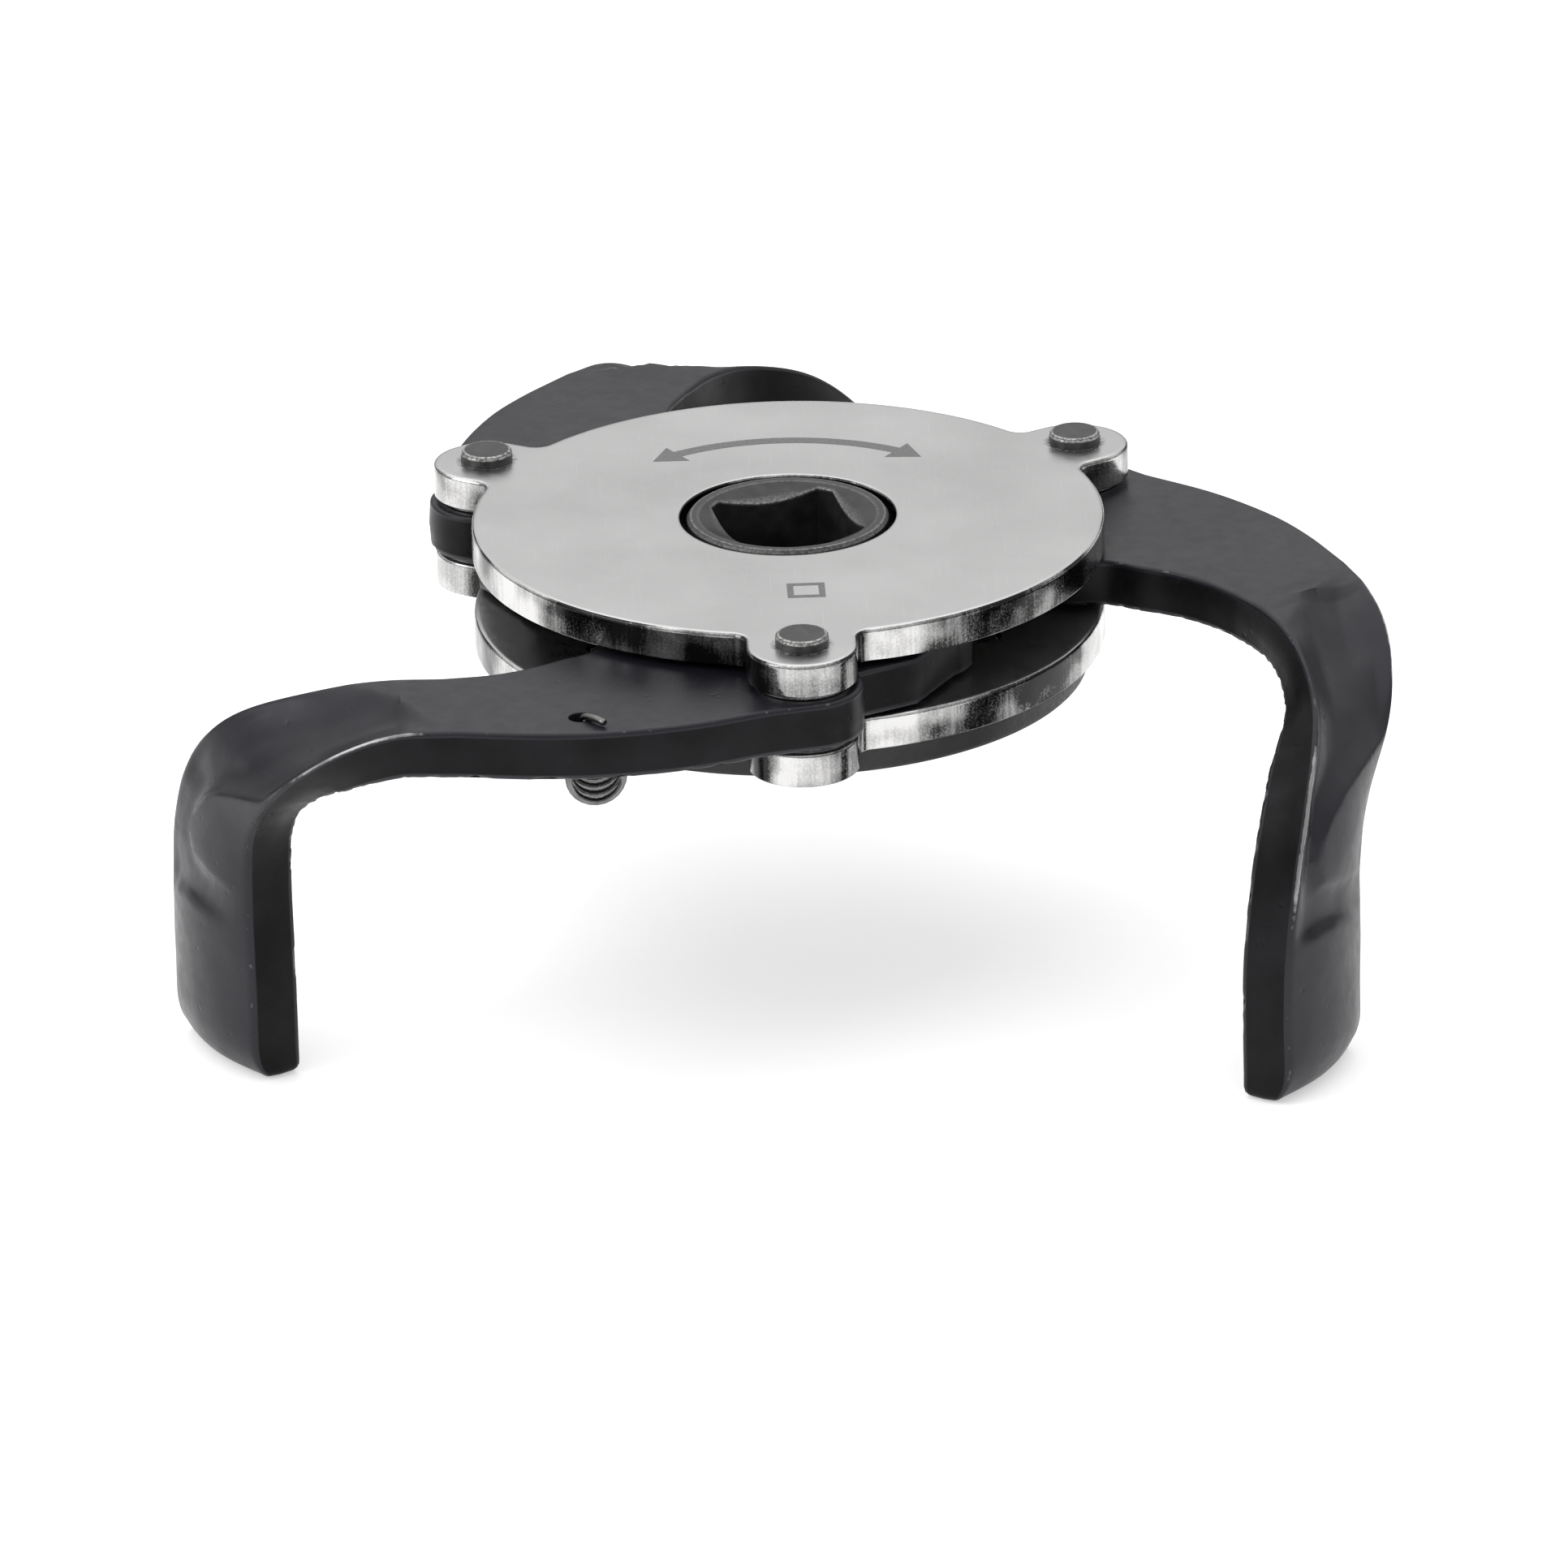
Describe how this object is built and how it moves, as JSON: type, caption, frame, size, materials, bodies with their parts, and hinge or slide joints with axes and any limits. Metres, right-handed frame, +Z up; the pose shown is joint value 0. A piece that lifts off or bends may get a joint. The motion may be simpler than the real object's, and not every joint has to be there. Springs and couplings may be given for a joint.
{
  "type": "oil filter wrench",
  "caption": "Adjustable oil filter wrench: a square-driven hub between round plates swings hooked arms together, through gear teeth, onto the side of a filter.",
  "frame": {"origin": "centre of the base disc's underside, on the hub's axis", "axes": "+Z up along the hub's axis, away from the filter; -Y through pivot 1; the arms sweep clockwise seen from above"},
  "size_m": [0.1225, 0.1124, 0.048],
  "materials": {
    "nickel": "satin nickel plate with brighter sheared edges",
    "black_steel": "satin black oxide",
    "phosphate": "satin black phosphate over forged steel",
    "base": "matte black",
    "bright_steel": "bright drawn steel"
  },
  "bodies": {
    "frame": {"top_plate": "nickel", "bottom_plate": "nickel", "base_disc": "base", "return_spring": "bright_steel", "pivot_rivet_1": "black_steel", "pivot_sleeve_1": "bright_steel", "upper_washer_1": "bright_steel", "lower_washer_1": "bright_steel", "disc_rivet_1": "black_steel", "pivot_rivet_2": "black_steel", "pivot_sleeve_2": "bright_steel", "upper_washer_2": "bright_steel", "lower_washer_2": "bright_steel", "disc_rivet_2": "black_steel", "pivot_rivet_3": "black_steel", "pivot_sleeve_3": "bright_steel", "upper_washer_3": "bright_steel", "lower_washer_3": "bright_steel", "disc_rivet_3": "black_steel"},
    "hub": {"drive_hub": "black_steel"},
    "arm_1": {"arm_1": "phosphate"},
    "arm_2": {"arm_2": "phosphate"},
    "arm_3": {"arm_3": "phosphate"}
  },
  "joints": [
    {"name": "hub_turn", "type": "hinge", "parent": "frame", "child": "hub", "pos_m": [0, 0, 0], "axis": [0, 0, 1], "range_deg": [-80, 35]},
    {"name": "arm_1_swing", "type": "hinge", "parent": "frame", "child": "arm_1", "pos_m": [0, -0.0348, 0], "axis": [0, 0, 1], "range_deg": [-21, 48]},
    {"name": "arm_2_swing", "type": "hinge", "parent": "frame", "child": "arm_2", "pos_m": [0.03014, 0.0174, 0], "axis": [0, 0, 1], "range_deg": [-21, 48]},
    {"name": "arm_3_swing", "type": "hinge", "parent": "frame", "child": "arm_3", "pos_m": [-0.03014, 0.0174, 0], "axis": [0, 0, 1], "range_deg": [-21, 48]}
  ],
  "couplings": [
    {"joint": "arm_1_swing", "follows": "hub_turn", "ratio": -0.6},
    {"joint": "arm_2_swing", "follows": "hub_turn", "ratio": -0.6},
    {"joint": "arm_3_swing", "follows": "hub_turn", "ratio": -0.6}
  ]
}
